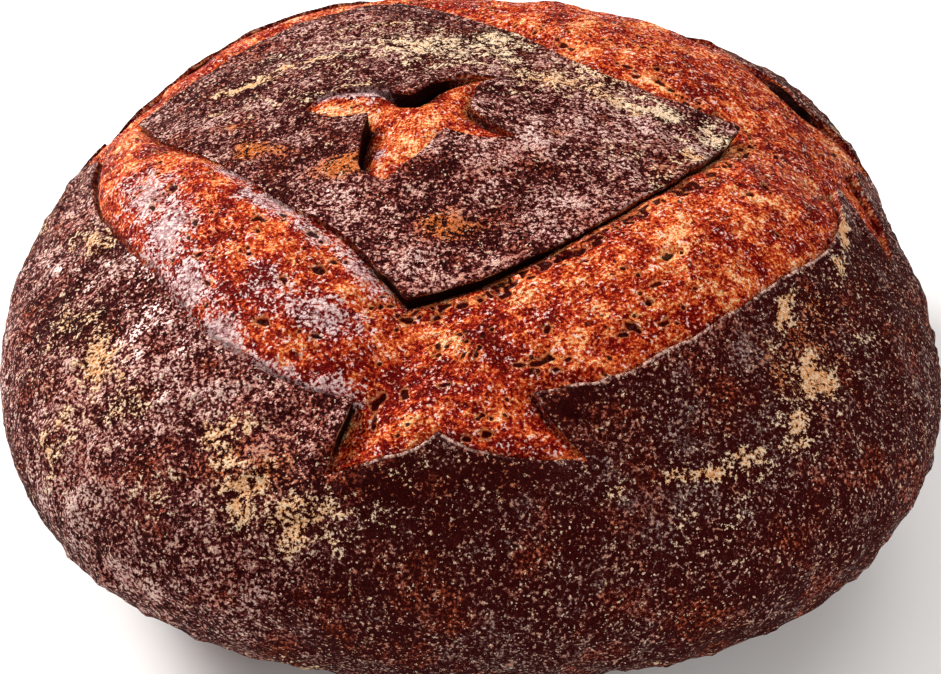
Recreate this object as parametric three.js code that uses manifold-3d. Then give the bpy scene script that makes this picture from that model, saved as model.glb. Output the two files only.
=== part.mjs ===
// A round sourdough loaf, baked dark on a stone, standing on its flat underside.
//
// The loaf is one solid. The baker cut four lines into the top of the raw dough, crossing
// each other like a hash sign, and one small cross inside them. In the oven the cuts
// opened: the crumb swelled up between the crust plates, and the cut edges of the crust
// curled up into thin ears.
//
// The solid is made as the loaf is: a crust body and a crumb body share one base shape,
// the opened cuts are taken out of the crust body, and the crumb body fills them from
// below. Units are millimetres, +Z is up, and the origin is under the middle of the loaf's
// box, on the surface that it stands on. The cut outlines are drawn in plan.

import * as THREE from "three";
import { mergeVertices } from "three/addons/utils/BufferGeometryUtils.js";
import Module from "manifold-3d";

// The overall body.
const LOAF_RADIUS = 125; // mean radius in plan, at the widest level
const LOAF_HEIGHT = 108; // from the surface to the top of the crust
const WIDEST_HEIGHT = 50; // level of the widest girth
const BASE_RADIUS = 66; // mean radius of the flat spot that it stands on
const CROWN_POWER = 1.18; // 1 is an ellipse above the widest level, more has a narrower crown
const BELLY_POWER = 1.25; // 1 is an ellipse below the widest level, more is cut in more
const LEAN = new THREE.Vector2(1.5, -1.5); // how far the top leans off the middle
const LEAN_POWER = 1.5; // how much of the lean is near the top

// Waves in the girth: amplitude of the cosine and the sine term for each number of lobes.
const GIRTH_WAVES = [
  { lobes: 2, cos: -2.5, sin: 0 },
  { lobes: 3, cos: 0, sin: -3 },
  { lobes: 4, cos: -3.1, sin: 1.3 },
  { lobes: 5, cos: -1.8, sin: 0 },
  { lobes: 6, cos: 0, sin: -1 },
];

// The cuts and how they opened.
const SCORE_MARGIN = 17; // crust left between the ends of the cuts and the widest girth
const DRAWN_REACH = 108; // how far the cuts reach from the middle as they are drawn below
const CRUMB_DROP = 6; // depth of the crumb below the crust along the opened cuts
const CRUMB_SWELL = 5; // rise of the crumb from its edges to the middle of an opened cut
const SWELL_REACH = 16; // distance from its edges over which the crumb rises
const CROSS_DROP = 7; // depth of the crumb in the small cross
const EAR_LIFT = 3; // how far the cut edges of the crust curl up
const EAR_REACH = 9; // distance from the edge over which they curl

// Fineness of the mesh.
const RING_STEP = 7; // distance between the rings of the body
const BODY_SEGMENTS = 84;
const CURVE_POINTS = 3; // straight pieces for each drawn point of an outline
const SECTION_STEPS = 200; // steps along each half of the section before it is spaced evenly
const MERGE_GAP = 1e-4; // vertices nearer than this are one

// The middle crust plate, which the four cuts left as a diamond. Each edge runs from one
// corner to the next, and each is drawn through its own few points.
const DIAMOND_EDGES = [
  // Left corner to front corner.
  [[-89, 36], [-79, 14], [-66, -2], [-47, -25], [-30, -41], [-20, -55], [-14, -64]],
  // Front corner to right corner.
  [[-14, -64], [3, -57], [26, -42], [45, -24], [62, -3], [70, 12]],
  // Right corner to back corner.
  [[70, 12], [47, 21], [27, 35], [12, 53], [-4, 68], [-20, 83]],
  // Back corner to left corner.
  [[-20, 83], [-45, 73], [-64, 58], [-77, 46], [-89, 36]],
];

// The outer edge of the opened cuts. The side plates and the corner plates take turns
// round it: each corner plate ends in a peak between the tails of two cuts.
const OPENED_EDGES = [
  // Left side plate, down to its front corner.
  [[-99, 24], [-98, 8], [-92, -14], [-79, -36], [-61, -64], [-42, -80], [-27, -86]],
  // Its cut end, out to the tip of the tail.
  [[-27, -86], [-30, -94], [-33, -101]],
  // Front corner plate: up to its peak and away from it.
  [[-33, -101], [-24, -99], [-13, -97], [-7, -94]],
  [[-7, -94], [2, -97], [14, -98], [27, -98]],
  // Right side plate: its cut end, its front corner and its long edge.
  [[27, -98], [20, -91], [15, -83]],
  [[15, -83], [31, -81], [48, -70], [66, -52], [82, -33], [90, -15], [93, 0]],
  // Right corner plate, beyond the tail of the back right cut.
  [[93, 0], [100, -9], [107, -19]],
  [[107, -19], [107, -2], [102, 20]],
  // Tail of the front right cut, then the back right side plate.
  [[102, 20], [107, 27], [110, 35]],
  [[110, 35], [102, 42], [93, 47]],
  [[93, 47], [83, 60], [68, 76], [48, 90], [28, 98], [14, 100]],
  // Back corner plate, between two short tails.
  [[14, 100], [2, 107]],
  [[2, 107], [-12, 103]],
  [[-12, 103], [-28, 108]],
  [[-28, 108], [-36, 100]],
  // Back left side plate.
  [[-36, 100], [-58, 90], [-78, 74], [-92, 57]],
  // Left corner plate, between two short tails.
  [[-92, 57], [-102, 52]],
  [[-102, 52], [-101, 43]],
  [[-101, 43], [-108, 33]],
  [[-108, 33], [-99, 24]],
];

// The small cross cut into the middle of the diamond: four arms and the notches between.
const CROSS_EDGES = [
  // Left arm.
  [[-26, 4], [-34, 5], [-42, 11], [-37, 17], [-26, 17], [-15, 11]],
  // Back arm.
  [[-15, 11], [-8, 17], [0, 21], [8, 20], [3, 14], [1, 3]],
  // Right arm.
  [[1, 3], [6, -4], [13, -9], [3, -10], [-6, -6]],
  // Front arm.
  [[-6, -6], [-12, -15], [-20, -25], [-27, -20], [-28, -8], [-26, 4]],
];

// The cuts end a fixed margin inside the girth, so the drawing grows with the loaf.
const SCORE_SCALE = (LOAF_RADIUS - SCORE_MARGIN) / DRAWN_REACH;

// One closed outline in plan, as points: a smooth curve along each edge, sharp in between.
function outlineOf(edges) {
  return edges.flatMap((edge) => {
    const drawn = edge.map(([x, y]) => new THREE.Vector2(x, y).multiplyScalar(SCORE_SCALE));
    if (drawn.length === 2) return [drawn[0]];
    return new THREE.SplineCurve(drawn).getPoints((drawn.length - 1) * CURVE_POINTS).slice(0, -1);
  });
}

const diamond = outlineOf(DIAMOND_EDGES);
const opened = outlineOf(OPENED_EDGES);
const cross = outlineOf(CROSS_EDGES);

// Distance in plan from a point to a closed outline.
function distanceTo(outline, point) {
  const nearest = new THREE.Vector2();
  return outline.reduce((least, start, i) => {
    const along = outline[(i + 1) % outline.length].clone().sub(start);
    const share = point.clone().sub(start).dot(along) / along.lengthSq();
    nearest.copy(along).multiplyScalar(THREE.MathUtils.clamp(share, 0, 1)).add(start);
    return Math.min(least, nearest.distanceTo(point));
  }, Infinity);
}

// Whether a point in plan lies inside a closed outline.
function isInside(outline, point) {
  return outline.reduce((inside, a, i) => {
    const b = outline[(i + 1) % outline.length];
    if (a.y > point.y === b.y > point.y) return inside;
    return point.x < a.x + ((b.x - a.x) * (point.y - a.y)) / (b.y - a.y) ? !inside : inside;
  }, false);
}

// The loaf's half section, from the top down to the middle of the underside, as points
// (radius, height) at even steps along it.
function halfSection() {
  const fine = [];
  for (let i = 0; i <= SECTION_STEPS; i++) {
    const turn = (i / SECTION_STEPS) * (Math.PI / 2);
    const radius = LOAF_RADIUS * Math.sin(turn) ** CROWN_POWER;
    const rise = (LOAF_HEIGHT - WIDEST_HEIGHT) * Math.cos(turn);
    fine.push(new THREE.Vector2(radius, WIDEST_HEIGHT + rise));
  }
  for (let i = 1; i <= SECTION_STEPS; i++) {
    const turn = (i / SECTION_STEPS) * (Math.PI / 2);
    const overhang = (LOAF_RADIUS - BASE_RADIUS) * Math.max(Math.cos(turn), 0) ** BELLY_POWER;
    fine.push(new THREE.Vector2(BASE_RADIUS + overhang, WIDEST_HEIGHT * (1 - Math.sin(turn))));
  }
  const path = new THREE.CurvePath();
  fine.slice(1).forEach((end, i) => path.add(new THREE.LineCurve(fine[i], end)));
  const rings = Math.round(path.getLength() / RING_STEP);
  const section = Array.from({ length: rings + 1 }, (_, i) => path.getPointAt(i / rings));
  return [...section, new THREE.Vector2(BASE_RADIUS / 2, 0), new THREE.Vector2(0, 0)];
}

// How much wider or narrower the loaf is towards one side than its mean radius.
function girthWave(angle) {
  return GIRTH_WAVES.reduce(
    (sum, w) => sum + w.cos * Math.cos(w.lobes * angle) + w.sin * Math.sin(w.lobes * angle),
    0,
  );
}

// The base shape: a lathe body with the girth's waves and the lean, with shared vertices.
function bodyGeometry() {
  const lathe = new THREE.LatheGeometry(halfSection().reverse(), BODY_SEGMENTS);
  lathe.rotateX(Math.PI / 2);
  lathe.deleteAttribute("normal");
  lathe.deleteAttribute("uv");
  const body = mergeVertices(lathe, MERGE_GAP);
  const at = body.getAttribute("position");
  for (let i = 0; i < at.count; i++) {
    const wave = 1 + girthWave(Math.atan2(at.getY(i), at.getX(i))) / LOAF_RADIUS;
    const level = Math.max(at.getZ(i), 0) / LOAF_HEIGHT;
    const lean = LEAN.clone().multiplyScalar(level ** LEAN_POWER);
    at.setXYZ(i, at.getX(i) * wave + lean.x, at.getY(i) * wave + lean.y, at.getZ(i));
  }
  body.computeVertexNormals();
  return body;
}

// Moves each vertex of a body along its normal: by a fixed amount below the widest level,
// and above it by an amount that depends on the place in plan.
function raise(body, lowerHeight, heightAt) {
  const at = body.getAttribute("position");
  const normals = body.getAttribute("normal");
  const vertex = new THREE.Vector3();
  const normal = new THREE.Vector3();
  for (let i = 0; i < at.count; i++) {
    vertex.fromBufferAttribute(at, i);
    normal.fromBufferAttribute(normals, i);
    const isUpper = vertex.z > WIDEST_HEIGHT;
    const height = isUpper ? heightAt(new THREE.Vector2(vertex.x, vertex.y)) : lowerHeight;
    vertex.addScaledVector(normal, height);
    at.setXYZ(i, vertex.x, vertex.y, vertex.z);
  }
  return body;
}

// The crust curls up towards the edges of the cuts.
function crustHeight(point) {
  const distance = Math.min(
    distanceTo(diamond, point),
    distanceTo(opened, point),
    distanceTo(cross, point),
  );
  return EAR_LIFT * Math.exp(-((distance / EAR_REACH) ** 2));
}

// The crumb lies below the crust, and swells up in the middle of the opened cuts.
function crumbHeight(point) {
  if (isInside(diamond, point)) return -CROSS_DROP;
  if (!isInside(opened, point)) return -CRUMB_DROP;
  const distance = Math.min(distanceTo(diamond, point), distanceTo(opened, point));
  const share = Math.min(distance / SWELL_REACH, 1);
  return CRUMB_SWELL * Math.sin((share * Math.PI) / 2) - CRUMB_DROP;
}

const wasm = await Module();
wasm.setup();

// A closed geometry as a solid that can be joined and cut.
function solidOf(geometry) {
  const bare = geometry.clone();
  ["normal", "uv"].forEach((name) => bare.deleteAttribute(name));
  const merged = mergeVertices(bare, MERGE_GAP);
  return new wasm.Manifold(
    new wasm.Mesh({
      numProp: 3,
      vertProperties: merged.getAttribute("position").array,
      triVerts: new Uint32Array(merged.index.array),
    }),
  );
}

// A solid back as a geometry.
function geometryOf(solid) {
  const mesh = solid.getMesh();
  const geometry = new THREE.BufferGeometry();
  geometry.setAttribute("position", new THREE.BufferAttribute(mesh.vertProperties, 3));
  geometry.setIndex(new THREE.BufferAttribute(mesh.triVerts, 1));
  return geometry;
}

// The space over an outline, from the widest level up past the top, to cut the crust with.
function spaceOver(outline, kept) {
  const shape = new THREE.Shape(outline);
  if (kept) shape.holes.push(new THREE.Path(kept));
  const prism = new THREE.ExtrudeGeometry(shape, { depth: LOAF_HEIGHT, bevelEnabled: false });
  return solidOf(prism.translate(0, 0, WIDEST_HEIGHT));
}

// The whole loaf, moved so that the middle of its box is over the origin.
function loafGeometry() {
  const crust = solidOf(raise(bodyGeometry(), 0, crustHeight));
  const crumb = solidOf(raise(bodyGeometry(), -CRUMB_DROP, crumbHeight));
  const loaf = crust.subtract(spaceOver(opened, diamond)).subtract(spaceOver(cross)).add(crumb);
  const geometry = geometryOf(loaf);
  geometry.computeBoundingBox();
  const middle = geometry.boundingBox.getCenter(new THREE.Vector3());
  return geometry.translate(-middle.x, -middle.y, -geometry.boundingBox.min.z);
}

const crustMaterial = new THREE.MeshStandardMaterial({
  color: new THREE.Color(0.3, 0.12, 0.055),
  roughness: 0.62,
  metalness: 0,
});

const loaf = new THREE.Mesh(loafGeometry(), crustMaterial);
loaf.name = "loaf";

const part = new THREE.Group();
part.add(loaf);

export default part;
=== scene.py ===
# A round sourdough loaf with a dark, blistered crust, scored with four crossing cuts.
# The script works in millimetres where it shapes the loaf, and turns them into metres at
# the end. The loaf's outside is drawn on a flat map: a point's distance from the map's
# middle is its distance from the crown along the crust, so a place on the map is a place
# on the loaf.

import math

import bpy
import numpy as np
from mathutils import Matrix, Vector, kdtree
from mathutils.geometry import delaunay_2d_cdt


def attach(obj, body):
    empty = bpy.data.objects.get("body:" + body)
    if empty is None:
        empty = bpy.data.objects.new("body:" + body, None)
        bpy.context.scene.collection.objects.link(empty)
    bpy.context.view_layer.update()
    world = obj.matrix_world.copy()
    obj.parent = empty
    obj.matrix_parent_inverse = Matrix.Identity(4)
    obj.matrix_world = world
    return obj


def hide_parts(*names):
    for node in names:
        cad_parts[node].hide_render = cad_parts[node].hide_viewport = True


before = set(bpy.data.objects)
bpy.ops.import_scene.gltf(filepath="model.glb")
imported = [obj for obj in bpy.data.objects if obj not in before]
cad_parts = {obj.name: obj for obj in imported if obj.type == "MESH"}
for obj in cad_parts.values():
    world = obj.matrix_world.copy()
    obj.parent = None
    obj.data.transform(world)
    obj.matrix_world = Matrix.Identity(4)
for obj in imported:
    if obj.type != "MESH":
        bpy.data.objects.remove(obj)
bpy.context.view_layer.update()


# ---------------------------------------------------------------------------------------
# The table and the light. The loaf stands on a plain pale table in a white room. A soft
# window is behind it to the left, a pale ceiling fills the shadows, and a weak light stands
# in front on the right. The camera looks down at the loaf's front through a long lens.

MM = 0.001  # one millimetre in metres
CAMERA_AIM = Vector((1.1, -3.2, 36.8)) * MM
CAMERA_DISTANCE = 567 * MM
CAMERA_ELEVATION = math.radians(39)
CAMERA_LENS = 80  # on a sensor 36 mm wide

scene = bpy.context.scene
camera = bpy.data.objects.new("camera", bpy.data.cameras.new("camera"))
camera.data.lens = CAMERA_LENS
camera.data.clip_start = 0.01
away = Vector((0, -math.cos(CAMERA_ELEVATION), math.sin(CAMERA_ELEVATION)))
camera.location = CAMERA_AIM + away * CAMERA_DISTANCE
camera.rotation_euler = (-away).to_track_quat("-Z", "Y").to_euler()
scene.collection.objects.link(camera)
scene.camera = camera
scene.view_settings.view_transform = "Standard"

TABLE_REACH = 3.0  # metres from the loaf to the table's edge
TABLE_COLOUR = (0.86, 0.86, 0.86, 1)
table_corners = [(TABLE_REACH * x, TABLE_REACH * y, 0) for x, y in ((-1, -1), (1, -1), (1, 1), (-1, 1))]
table_mesh = bpy.data.meshes.new("table")
table_mesh.from_pydata(table_corners, [], [(0, 1, 2, 3)])
table = bpy.data.objects.new("table", table_mesh)
scene.collection.objects.link(table)
table_paint = bpy.data.materials.new("table_paint")
table_paint.use_nodes = True
paint_sockets = table_paint.node_tree.nodes["Principled BSDF"].inputs
paint_sockets["Base Color"].default_value = TABLE_COLOUR
paint_sockets["Roughness"].default_value = 0.8
table_mesh.materials.append(table_paint)

LIGHT_COLOUR = (1.0, 0.97, 0.95)
ROOM_BRIGHTNESS = 0.45
room = bpy.data.worlds.new("room")
room.use_nodes = True
walls = room.node_tree.nodes["Background"].inputs
walls["Color"].default_value = (*LIGHT_COLOUR, 1)
walls["Strength"].default_value = ROOM_BRIGHTNESS
scene.world = room


def soft_light(name, towards, distance, size, power):
    """A square area light that looks at the loaf from a direction."""
    lamp = bpy.data.lights.new(name, "AREA")
    lamp.shape = "SQUARE"
    lamp.size = size
    lamp.energy = power
    lamp.color = LIGHT_COLOUR
    holder = bpy.data.objects.new(name, lamp)
    direction = Vector(towards).normalized()
    holder.location = CAMERA_AIM + direction * distance
    holder.rotation_euler = direction.to_track_quat("Z", "Y").to_euler()
    scene.collection.objects.link(holder)


soft_light("window", towards=(-0.72, 0.48, 0.54), distance=1.3, size=0.5, power=29)
soft_light("ceiling", towards=(0.3, 0.25, 1.0), distance=1.6, size=1.0, power=8)
soft_light("front", towards=(0.62, -0.62, 0.48), distance=1.5, size=0.9, power=9)


# ---------------------------------------------------------------------------------------
# The loaf. One piece of bread: a thin dark crust over an airy crumb. The baker rolled the
# dough into a ball, floured it, and cut its top with a blade just before it was baked.
# The cuts opened as it rose: the crumb swelled out of them and the crust's edges curled up.

RADIUS = 125.0
HEIGHT = 108.0
WIDEST = 50.0
BASE_RADIUS = 66.0
CROWN_POWER = 1.18
BELLY_POWER = 1.25
LEAN = np.array((1.5, -1.5))
LEAN_POWER = 1.5
MIDDLE = np.array((-0.87, 3.23))  # the middle of the leaning body's box, moved to the origin
GIRTH_WAVES = ((2, -2.5, 0), (3, 0, -3), (4, -3.1, 1.3), (5, -1.8, 0), (6, 0, -1))

quarter = np.linspace(0, math.pi / 2, 400)
crown_radius = RADIUS * np.sin(quarter) ** CROWN_POWER
crown_height = WIDEST + (HEIGHT - WIDEST) * np.cos(quarter)
overhang = (RADIUS - BASE_RADIUS) * np.maximum(np.cos(quarter[1:]), 0) ** BELLY_POWER
spot_radius = np.linspace(BASE_RADIUS, 0, 60)[1:]
section_radius = np.concatenate((crown_radius, BASE_RADIUS + overhang, spot_radius))
section_height = np.concatenate((crown_height, WIDEST * (1 - np.sin(quarter[1:])), 0 * spot_radius))
section_way = np.append(0, np.cumsum(np.hypot(np.diff(section_radius), np.diff(section_height))))


def girth(angle):
    """The loaf's width towards an angle in plan, as a share of its mean width."""
    waves = (c * np.cos(lobes * angle) + s * np.sin(lobes * angle) for lobes, c, s in GIRTH_WAVES)
    return 1 + sum(waves) / RADIUS


def surface(at):
    """The place on the smooth loaf of each point of the map."""
    way = np.hypot(at[:, 0], at[:, 1])
    angle = np.arctan2(at[:, 1], at[:, 0])
    radius = np.interp(way, section_way, section_radius) * girth(angle)
    height = np.interp(way, section_way, section_height)
    plan = np.column_stack((radius * np.cos(angle), radius * np.sin(angle)))
    return np.column_stack((plan + LEAN * (height / HEIGHT)[:, None] ** LEAN_POWER - MIDDLE, height))


def outward(at):
    """The smooth loaf's outward normal at each point of the map."""
    reach = 0.4
    east = surface(at + (reach, 0)) - surface(at - (reach, 0))
    north = surface(at + (0, reach)) - surface(at - (0, reach))
    across = np.cross(east, north)
    length = np.linalg.norm(across, axis=1, keepdims=True)
    return np.where(length > 1e-9, across / np.maximum(length, 1e-9), (0, 0, -1))


def to_map(plan):
    """The place on the map of each point of the crown drawn in plan."""
    plan = np.asarray(plan, float)
    height = np.full(len(plan), HEIGHT)
    for _ in range(6):
        upright = plan - LEAN * (height / HEIGHT)[:, None] ** LEAN_POWER
        angle = np.arctan2(upright[:, 1], upright[:, 0])
        radius = np.hypot(upright[:, 0], upright[:, 1]) / girth(angle)
        height = np.interp(radius, crown_radius, crown_height)
    way = np.interp(radius, crown_radius, section_way[: len(quarter)])
    return np.column_stack((way * np.cos(angle), way * np.sin(angle)))


LATTICE = 32


def noise(points, size, seed):
    """Smooth noise from -1 to 1, with lumps of about that size."""
    lattice = np.random.default_rng(seed).uniform(-1, 1, (LATTICE, LATTICE, LATTICE))
    cell = np.full((len(points), 3), 7.3)  # away from the lattice's own corner
    cell[:, : points.shape[1]] += points / size
    low = np.floor(cell).astype(int)
    share = cell - low
    share = share * share * (3 - 2 * share)
    total = np.zeros(len(points))
    for corner in np.ndindex(2, 2, 2):
        weight = np.prod(np.where(corner, share, 1 - share), axis=1)
        i, j, k = ((low + corner) % LATTICE).T
        total += weight * lattice[i, j, k]
    return total


# The cuts' outlines in plan. Each edge is a smooth curve, with a corner where the next one
# starts. With it go four rows of numbers, spread along it: how high the crust's edge curls
# up, how far it hangs over the cut, how deep the gap under it is, and the level of the
# crumb beside it.

DIAMOND = (
    # Left corner to front corner: the crumb starts right at the crust's edge.
    (((-89, 36), (-79, 14), (-66, -2), (-47, -25), (-30, -41), (-20, -54), (-14, -61.5)),
     (1.2, 0.8, 0.5, 0.5, 0.8, 1.8), (0.3, 0.0, 0.0, 0.0, 0.2, 0.8), (1.6, 1.0, 0.8, 0.9, 1.4, 2.6),
     (-1.0, -0.2, 0.2, 0.0, -0.6, -2.0)),
    # Front corner to right corner: the edge hangs over a deep gap.
    (((-14, -61.5), (3, -56), (26, -41.5), (45, -23.5), (61, -3), (68, 11)),
     (1.5, 1.4, 1.1, 1.2, 1.6, 2.0), (0.8, 1.1, 0.8, 0.8, 1.0, 1.0), (2.8, 2.6, 1.9, 1.8, 2.0, 2.4),
     (-1.5, -1.3, -0.8, -0.8, -1.2, -1.6)),
    # Right corner to back corner: the crumb climbs over the crust's edge.
    (((68, 11), (46, 21), (27, 35), (12, 53), (-4, 68), (-20, 83)),
     (2.2, 0.5, 0.2, 0.2, 0.3, 0.8), (0.9, 0.0, 0.0, 0.0), (2.4, 0.6, 0.3, 0.4, 0.8),
     (-1.8, -0.4, 0.2, 0.0, -0.8)),
    # Back corner to left corner.
    (((-20, 83), (-45, 73), (-64, 58), (-77, 46), (-89, 36)),
     (0.8, 1.6, 1.6, 1.2), (0.2, 0.8, 0.8, 0.3), (1.0, 2.4, 2.4, 1.6), (-0.8, -1.6, -1.6, -1.0)),
)

OPENED = (
    # Left side plate: the crumb bulges over its edge.
    (((-99, 24), (-98, 8), (-92, -14), (-79, -36), (-61, -64), (-42, -80), (-27, -86)),
     (1.0, 0.8, 0.4, 0.2, 0.2, 0.4, 0.8), (0.0, 0.0, 0.0, -0.4, -0.4, -0.2, 0.4),
     (1.8, 1.8, 1.4, 1.0, 1.0, 1.0, 1.4),
     (-0.4, 0.2, 0.8, 1.2, 1.2, 0.6, -0.4)),
    # Its cut end stands over the crossing.
    (((-27, -86), (-30, -94), (-33, -101)), (1.4, 1.6, 0.4), (0.9, 0.6, 0.0), (2.4, 2.2, 0.6),
     (-3.6, -3.2, -0.8)),
    # Front corner plate: an ear that rises to its peak, then falls away.
    (((-33, -101), (-24, -100), (-13, -98), (-7, -95)),
     (0.6, 3.2, 5.4, 7.0), (0.0, 0.0, 0.0, 0.2), (0.6, 0.8, 0.8, 1.4), (-0.8, 0.8, 2.6, 0.8)),
    (((-7, -95), (2, -98), (14, -99), (27, -99)),
     (7.0, 2.8, 1.0, 0.3), (0.2, 0.0, 0.0, 0.0), (1.4, 0.5, 0.4, 0.3), (0.8, 1.6, 0.9, 0.1)),
    # Right side plate: its cut end, its front corner and its long ear.
    (((27, -99), (20, -93), (14, -86)), (0.4, 1.4, 4.0), (0.0, 0.0, 0.0), (0.6, 0.8, 1.2),
     (-0.4, -0.2, 0.6)),
    (((14, -86), (31, -83), (48, -72.5), (66, -55.5), (83, -37), (91, -18), (93, 0)),
     (4.0, 5.2, 4.6, 4.0, 4.0, 4.2, 2.2), (0.0, 0.0, 0.0, 0.0, 0.0, 0.2, 0.3),
     (1.2, 0.8, 0.5, 0.5, 0.6, 0.8, 1.4),
     (0.6, 3.2, 3.6, 3.2, 3.0, 2.8, -0.6)),
    # Right corner plate, beyond the tail of the back right cut.
    (((93, 0), (100, -9), (107, -19)), (2.2, 1.4, 0.3), (0.3, 0.2, 0.0), (1.4, 1.0, 0.4),
     (-1.6, -1.4, -0.6)),
    (((107, -19), (107, -2), (102, 20)), (0.3, 0.8, 1.4), (0.0, 0.2, 0.4), (0.6, 1.0, 1.2),
     (-0.6, -1.2, -1.6)),
    # Tail of the front right cut, then the back right side plate with its lifted ear.
    (((102, 20), (107, 27), (110, 35)), (1.4, 1.0, 0.3), (0.4, 0.2, 0.0), (1.4, 1.0, 0.4),
     (-1.6, -1.2, -0.6)),
    (((110, 35), (101, 40), (90, 44)), (0.3, 0.9, 2.0), (0.0, 0.2, 0.4), (0.6, 1.2, 2.6),
     (-0.6, -1.0, -1.6)),
    (((90, 44), (80, 57), (65, 72), (45, 86), (27, 95), (14, 97)),
     (2.0, 1.8, 0.6, 1.6, 0.5, 1.4, 0.4, 0.8, 1.0), (0.4, 0.4, 0.0, 0.3, 0.0, 0.2, 0.0, 0.0, 0.2),
     (2.6, 2.0, 0.5, 2.0, 0.4, 1.6, 0.4, 0.8, 1.2), (-1.4, -0.8, 0.5, -0.8, 0.6, -0.4, 0.6, 0.2, -1.0)),
    # Back corner plate, between two short tails.
    (((14, 97), (2, 107)), (1.0, 0.3), (0.4, 0.0), (1.6, 0.6), (-2.0, -0.8)),
    (((2, 107), (-12, 103)), (0.3, 2.0), (0.0, 0.4), (0.6, 1.6), (-0.8, -1.6)),
    (((-12, 103), (-28, 108)), (2.0, 0.3), (0.4, 0.0), (1.6, 0.6), (-1.6, -0.8)),
    (((-28, 108), (-36, 100)), (0.3, 1.2), (0.0, 0.4), (0.6, 1.6), (-0.8, -1.8)),
    # Back left side plate.
    (((-36, 100), (-58, 90), (-78, 74), (-92, 57)),
     (1.2, 2.0, 2.0, 1.2), (0.4, 0.6, 0.6, 0.4), (1.6, 2.0, 2.0, 1.6), (-1.4, -0.4, -0.4, -1.2)),
    # Left corner plate, between two short tails.
    (((-92, 57), (-102, 52)), (1.2, 0.3), (0.4, 0.0), (1.6, 0.6), (-1.8, -0.8)),
    (((-102, 52), (-101, 43)), (0.3, 1.4), (0.0, 0.3), (0.6, 1.4), (-0.8, -1.4)),
    (((-101, 43), (-108, 33)), (1.4, 0.3), (0.3, 0.0), (1.4, 0.6), (-1.4, -0.8)),
    (((-108, 33), (-99, 24)), (0.3, 1.0), (0.0, 0.2), (0.6, 1.8), (-0.8, -0.8)),
)

CROSS = (
    # Left arm, below a curled edge at its back.
    (((-26, 4), (-34, 5), (-42, 11)), (0.6, 0.3, 0.2), (0.4, 0.0, 0.0), (2.0, 0.8, 0.4),
     (-3.0, -1.6, -0.4)),
    (((-42, 11), (-37, 17), (-26, 17), (-15, 11)),
     (0.2, 1.4, 1.8, 2.0), (0.0, 0.0, 0.1, 0.8), (0.4, 0.8, 1.0, 2.8), (-0.4, 0.0, -0.2, -3.0)),
    # Back arm.
    (((-15, 11), (-8, 17), (0, 21), (8, 20)), (2.0, 1.5, 1.1, 0.4), (0.8, 0.9, 0.6, 0.0),
     (2.8, 2.4, 1.6, 0.4), (-3.0, -1.8, -1.2, -0.3)),
    (((8, 20), (3, 14), (1, 3)), (0.6, 1.2, 1.6), (0.0, 0.6, 0.6), (0.6, 2.0, 2.4), (-0.4, -1.6, -2.4)),
    # Right arm.
    (((1, 3), (6, -4), (13, -9)), (1.2, 1.2, 0.3), (0.4, 0.6, 0.0), (1.9, 1.8, 0.4), (-1.9, -1.2, -0.3)),
    (((13, -9), (3, -10), (-6, -6)), (0.3, 0.4, 0.8), (0.0, 0.0, 0.0), (0.4, 0.6, 0.8),
     (-0.3, -1.0, -1.6)),
    # Front arm, with a deep wall on its left.
    (((-6, -6), (-12, -15), (-20, -25)), (0.8, 0.3, 0.3), (0.0, 0.0, 0.0), (0.8, 0.4, 0.4),
     (-1.6, -0.8, -0.4)),
    (((-20, -25), (-27, -20), (-28, -8), (-26, 4)), (0.3, 0.8, 1.0, 0.8), (0.0, 0.8, 1.2, 0.8),
     (0.4, 3.0, 4.4, 3.0), (-0.4, -3.4, -4.4, -3.6)),
)

EDGE_STEP = 0.8
EDGE_WOBBLE = 0.45


def smooth_curve(points, steps=24):
    """A curve through every point, which leaves each one along the line between its neighbours."""
    points = np.asarray(points, float)
    if len(points) == 2:
        share = np.linspace(0, 1, steps)[:, None]
        return points[0] * (1 - share) + points[1] * share
    padded = np.vstack((points[:1], points, points[-1:]))
    pieces = []
    for before, start, end, after in zip(padded, padded[1:], padded[2:], padded[3:]):
        t = np.linspace(0, 1, steps, endpoint=False)[:, None]
        leaving, arriving = (end - before) / 2, (after - start) / 2
        pieces.append(
            (2 * start - 2 * end + leaving + arriving) * t**3
            + (-3 * start + 3 * end - 2 * leaving - arriving) * t**2
            + leaving * t
            + start
        )
    return np.vstack(pieces + [points[-1:]])


def outline(edges, seed):
    """A closed outline on the map: its points, their inward normals and their four numbers."""
    points, numbers = [], []
    for path, *rows in edges:
        curve = to_map(smooth_curve(path))
        way = np.append(0, np.cumsum(np.hypot(*np.diff(curve, axis=0).T)))
        count = max(int(way[-1] / EDGE_STEP), 2)
        at = np.linspace(0, way[-1], count, endpoint=False)
        points.append(np.column_stack([np.interp(at, way, c) for c in curve.T]))
        share = at / way[-1]
        numbers.append(np.column_stack([np.interp(share, np.linspace(0, 1, len(r)), r) for r in rows]))
    points, numbers = np.vstack(points), np.vstack(numbers)
    along = np.roll(points, -1, axis=0) - np.roll(points, 1, axis=0)
    normal = np.column_stack((-along[:, 1], along[:, 0]))
    normal /= np.linalg.norm(normal, axis=1, keepdims=True)
    wobble = noise(points, 5.0, seed) + 0.5 * noise(points, 2.2, seed + 1)
    points = points + normal * (EDGE_WOBBLE * wobble)[:, None]
    rough = 1 + 0.35 * noise(points, 9.0, seed + 2) + 0.2 * noise(points, 4.0, seed + 3)
    numbers[:, 0] *= rough
    following = np.roll(points, -1, axis=0)
    clockwise = np.sum(points[:, 0] * following[:, 1] - following[:, 0] * points[:, 1]) < 0
    return points, -normal if clockwise else normal, numbers


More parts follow.
